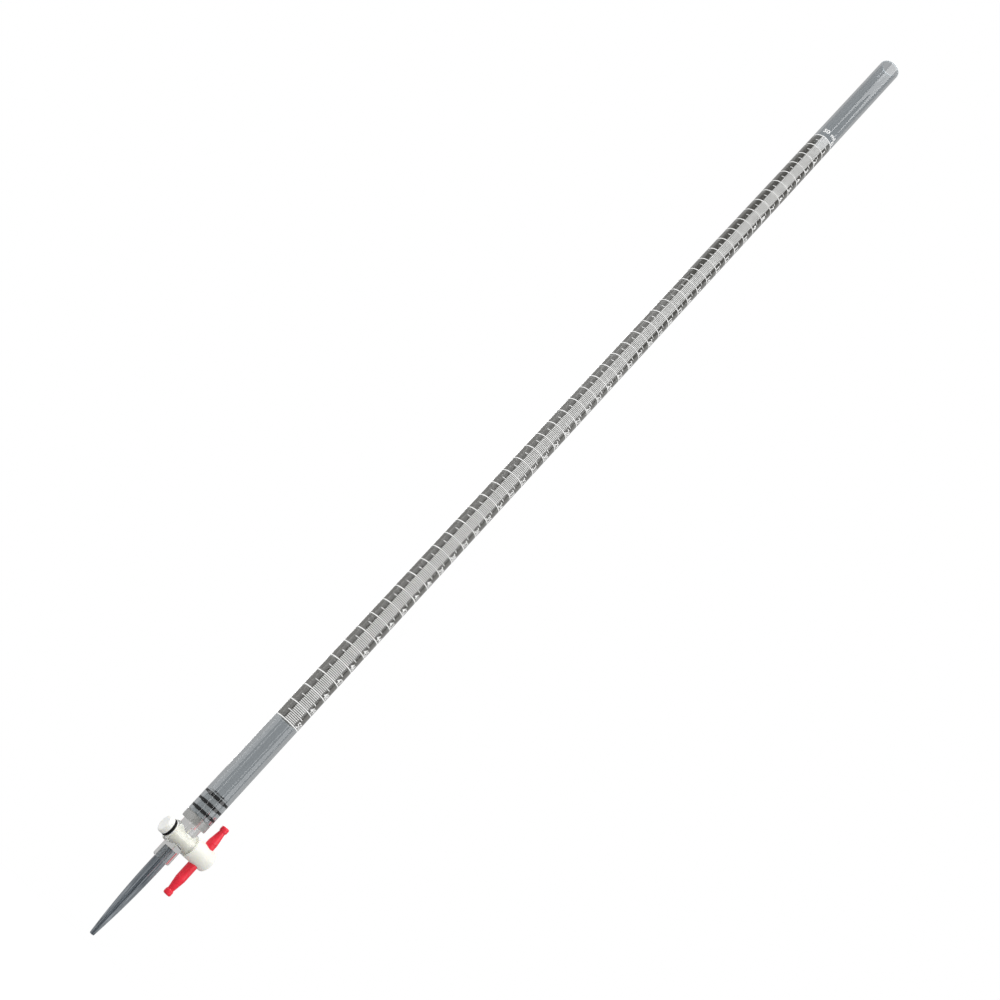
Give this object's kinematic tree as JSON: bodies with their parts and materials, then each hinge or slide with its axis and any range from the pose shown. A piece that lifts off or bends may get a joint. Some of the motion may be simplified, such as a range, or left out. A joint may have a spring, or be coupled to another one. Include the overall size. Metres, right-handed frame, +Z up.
{
  "type": "burette",
  "caption": "Clear straight burette with a printed millilitre scale, a push-in stopcock with a red cross handle and a tapered drip tip, for dispensing measured liquid.",
  "frame": {"origin": "centre of the drip tip's outlet", "axes": "+Z up the tube's axis to the open mouth, +X along the stopcock plug towards the handle"},
  "size_m": [0.0339, 0.015, 0.75],
  "materials": {
    "clear_tube": "polished, clear acrylic with a grey tint",
    "clear_moulding": "clear, slightly satin moulding",
    "white_ptfe": "satin, slightly waxy",
    "white_plastic": "satin",
    "red_plastic": "semi-gloss moulded",
    "black_rubber": "matt",
    "tip_glass": "fire-polished",
    "scale_ink": "screen-printed ink"
  },
  "bodies": {
    "tube": {"graduated_tube": "clear_tube"},
    "spigot_seals": {"spigot_o_ring_upper": "black_rubber", "spigot_o_ring_middle": "black_rubber", "spigot_o_ring_lower": "black_rubber"},
    "stopcock": {"stopcock_body": "clear_moulding"},
    "plug": {"stopcock_plug": "white_ptfe"},
    "tension_seal": {"tension_washer": "white_ptfe", "tension_o_ring": "black_rubber"},
    "nut": {"tension_nut": "white_plastic"},
    "handle": {"handle_bar": "red_plastic"},
    "tip": {"drip_tip": "tip_glass"}
  },
  "joints": [
    {"name": "stopcock_pull", "type": "slide", "parent": "tube", "child": "spigot_seals", "axis": [0, 0, -1], "range_m": [0, 0.018]},
    {"name": "stopcock_swivel", "type": "hinge", "parent": "spigot_seals", "child": "stopcock", "pos_m": [0, 0, 0.0805], "axis": [0, 0, 1], "continuous": true},
    {"name": "plug_turn", "type": "hinge", "parent": "stopcock", "child": "plug", "pos_m": [0, 0, 0.0598], "axis": [1, 0, 0], "continuous": true},
    {"name": "tension_slide", "type": "slide", "parent": "plug", "child": "tension_seal", "axis": [-1, 0, 0], "range_m": [0, 0.0015]},
    {"name": "nut_turn", "type": "hinge", "parent": "tension_seal", "child": "nut", "pos_m": [-0.011, 0, 0.0598], "axis": [-1, 0, 0], "range_deg": [0, 543]},
    {"name": "handle_slide", "type": "slide", "parent": "plug", "child": "handle", "axis": [0, 0, 1], "range_m": [-0.003, 0.0092]},
    {"name": "tip_pull", "type": "slide", "parent": "stopcock", "child": "tip", "axis": [0, 0, -1], "range_m": [0, 0.008]}
  ],
  "couplings": [
    {"joint": "nut_turn", "follows": "tension_slide", "rad_per_m": 6283.2}
  ]
}
